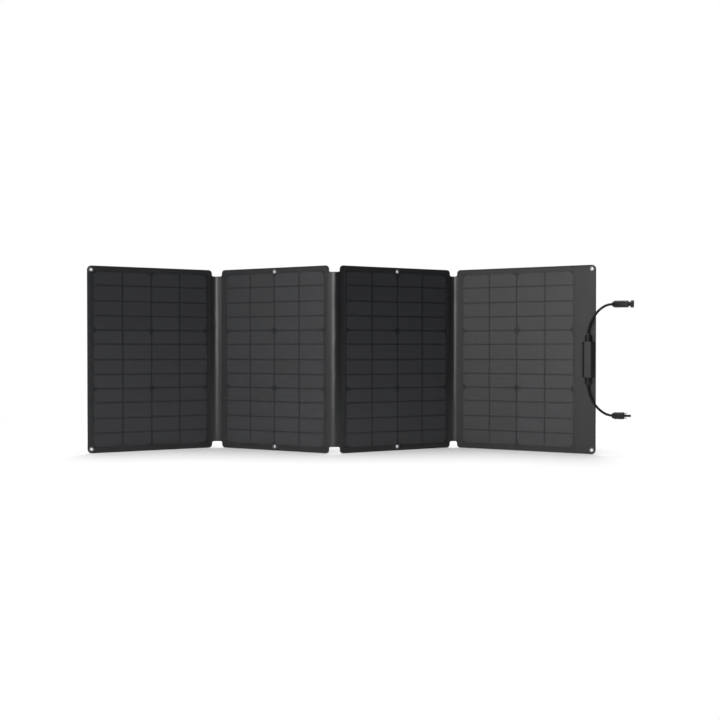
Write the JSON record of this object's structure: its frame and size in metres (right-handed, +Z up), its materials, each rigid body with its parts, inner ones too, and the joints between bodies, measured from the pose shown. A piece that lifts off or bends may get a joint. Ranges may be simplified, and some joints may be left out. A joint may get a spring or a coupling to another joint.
{
  "type": "folding solar blanket",
  "caption": "Folding solar blanket: stiff cell panels joined by fabric folds, standing as a zig-zag screen, with junction box, leads and plugs.",
  "frame": {"origin": "middle of the bottom of the blanket's bounding box, measured without the leads and their connectors", "axes": "+X along the blanket towards the junction box, -Y the side that the cells face, +Z up"},
  "size_m": [1.4978, 0.2185, 0.52],
  "materials": {
    "clear_film": "fine-textured clear film, matt",
    "solar_cell": "anti-reflection coated silicon, satin",
    "copper": "plain",
    "coated_ribbon": "black enamel on flat copper",
    "cover_fabric": "tight dark grey weave with a matt film",
    "back_fabric": "black woven cloth",
    "board": "glass-filled sheet",
    "eyelet_metal": "nickel plated",
    "shell_plastic": "fine spark texture",
    "nut_plastic": "smooth satin",
    "rubber": "matt",
    "tinned_brass": "tin plated",
    "diode_plastic": "matt",
    "cable_jacket": "satin cross-linked jacket"
  },
  "bodies": {
    "panel_1": {"film_1": "clear_film", "cells_1": "solar_cell", "ribbons_1": "coated_ribbon", "front_cover_1": "cover_fabric", "board_1": "board", "back_cover_1": "back_fabric", "eyelets_1": "eyelet_metal", "washers_1": "eyelet_metal"},
    "panel_2": {"film_2": "clear_film", "cells_2": "solar_cell", "ribbons_2": "coated_ribbon", "front_cover_2": "cover_fabric", "board_2": "board", "back_cover_2": "back_fabric", "eyelets_2": "eyelet_metal", "washers_2": "eyelet_metal", "fold_strip_1": "cover_fabric", "fold_conductors_1": "copper", "fold_strip_2": "cover_fabric", "fold_conductors_2": "copper"},
    "panel_3": {"film_3": "clear_film", "cells_3": "solar_cell", "ribbons_3": "coated_ribbon", "front_cover_3": "cover_fabric", "board_3": "board", "back_cover_3": "back_fabric", "eyelets_3": "eyelet_metal", "washers_3": "eyelet_metal", "fold_strip_3": "cover_fabric", "fold_conductors_3": "copper"},
    "panel_4": {"film_4": "clear_film", "cells_4": "solar_cell", "ribbons_4": "coated_ribbon", "front_cover_4": "cover_fabric", "board_4": "board", "back_cover_4": "back_fabric", "eyelets_4": "eyelet_metal", "washers_4": "eyelet_metal", "box_pad": "rubber", "box_base": "shell_plastic", "box_gasket": "rubber", "box_lid": "shell_plastic", "box_terminals": "tinned_brass", "box_diode": "diode_plastic", "gland_bodies": "shell_plastic", "gland_nuts": "nut_plastic", "gland_seals": "rubber", "lead_upper": "cable_jacket", "lead_lower": "cable_jacket", "socket_housing": "shell_plastic", "socket_nut": "nut_plastic", "socket_contact": "copper", "socket_seal": "rubber", "plug_housing": "shell_plastic", "plug_nut": "nut_plastic", "plug_contact": "copper", "plug_seal": "rubber"}
  },
  "joints": [
    {"name": "fold_1", "type": "hinge", "parent": "panel_2", "child": "panel_1", "pos_m": [-0.36596, 0.09715, 0.26], "axis": [0, 0, 1], "range_deg": [-52, 128], "deforming": ["fold_strip_1", "fold_conductors_1"]},
    {"name": "fold_2", "type": "hinge", "parent": "panel_2", "child": "panel_3", "pos_m": [-0.01708, -0.06578, 0.26], "axis": [0, 0, 1], "range_deg": [-52, 128], "deforming": ["fold_strip_2", "fold_conductors_2"]},
    {"name": "fold_3", "type": "hinge", "parent": "panel_3", "child": "panel_4", "pos_m": [0.32776, 0.09518, 0.26], "axis": [0, 0, -1], "range_deg": [-52, 128], "deforming": ["fold_strip_3", "fold_conductors_3"]}
  ],
  "couplings": [
    {"joint": "fold_3", "follows": "fold_2", "ratio": 1}
  ]
}
